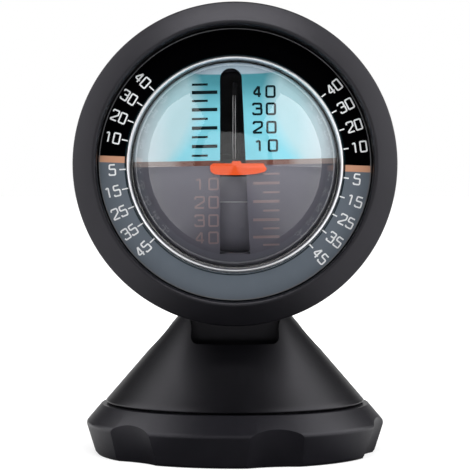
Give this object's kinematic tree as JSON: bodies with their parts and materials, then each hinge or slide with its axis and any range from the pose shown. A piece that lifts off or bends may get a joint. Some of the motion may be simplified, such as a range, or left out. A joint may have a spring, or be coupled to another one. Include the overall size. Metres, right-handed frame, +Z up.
{
  "type": "inclinometer",
  "caption": "Ball inclinometer: a clear dome over a rolling printed ball and a pitch pointer, in a round bezel with a degree dial, tilting on a slotted cone that swivels in a scalloped foot.",
  "frame": {"origin": "on the surface it stands on, under the middle of the foot", "axes": "+Z up along the swivel axis; the dial faces -Y; +X is to the right as the dial is read"},
  "size_m": [0.072, 0.0736, 0.1025],
  "materials": {
    "black_plastic": "moulded, fine matt grain",
    "ring_plastic": "moulded, satin",
    "inner_plastic": "moulded, plain",
    "foam_tape": "closed-cell foam tape",
    "fibre": "pressed fibre",
    "steel": "zinc plated",
    "brass": "turned",
    "polished_trim": "polished",
    "clear_dome": "clear, polished",
    "seal_rubber": "plain",
    "dial_print": "printed black, slate grey and copper",
    "ball_print": "printed blue-green above, grey below",
    "ball_plastic": "moulded",
    "arm_plastic": "moulded, pale",
    "pointer_orange": "moulded, bright"
  },
  "bodies": {
    "foot": {"adhesive_pad": "foam_tape", "base_plate": "inner_plastic", "swivel_washer": "fibre"},
    "clamp": {"lock_ring": "ring_plastic"},
    "swivel": {"cone_mount": "black_plastic", "swivel_screw": "steel", "swivel_screw_washer": "steel", "pivot_bolt": "steel", "pivot_nut": "steel", "friction_washer_left": "fibre", "friction_washer_right": "fibre"},
    "head": {"rear_housing": "black_plastic", "front_bezel": "black_plastic", "capsule_carrier": "inner_plastic", "carrier_screw_1": "steel", "carrier_screw_2": "steel", "carrier_screw_3": "steel", "carrier_screw_4": "steel", "dial_ring": "dial_print", "dome_trim_ring": "polished_trim", "clear_dome": "clear_dome", "seal_ring": "seal_rubber", "capsule_cup": "inner_plastic", "filler_plug": "brass", "roll_shaft": "steel"},
    "rotor": {"rotor_front": "ball_print", "rotor_rear": "ball_plastic", "rotor_bush": "brass", "roll_weight": "brass", "pitch_axle": "steel"},
    "pendulum": {"pitch_plate": "arm_plastic", "pitch_bush": "brass", "pitch_weight": "brass", "pointer_bar": "pointer_orange"}
  },
  "joints": [
    {"name": "base_swivel", "type": "hinge", "parent": "foot", "child": "swivel", "pos_m": [0, 0, 0.0113], "axis": [0, 0, 1], "continuous": true},
    {"name": "lock_ring_turn", "type": "hinge", "parent": "foot", "child": "clamp", "pos_m": [0, 0, 0.007], "axis": [0, 0, 1], "range_deg": [0, 60]},
    {"name": "head_tilt", "type": "hinge", "parent": "swivel", "child": "head", "pos_m": [0, 0, 0.0265], "axis": [-1, 0, 0], "range_deg": [-13, 37]},
    {"name": "ball_roll", "type": "hinge", "parent": "head", "child": "rotor", "pos_m": [0, -0.0165, 0.0663], "axis": [0, -0.9984, 0.0558], "continuous": true},
    {"name": "pointer_pitch", "type": "hinge", "parent": "rotor", "child": "pendulum", "pos_m": [0, -0.0165, 0.0663], "axis": [1, 0, 0], "range_deg": [-50, 50]}
  ]
}
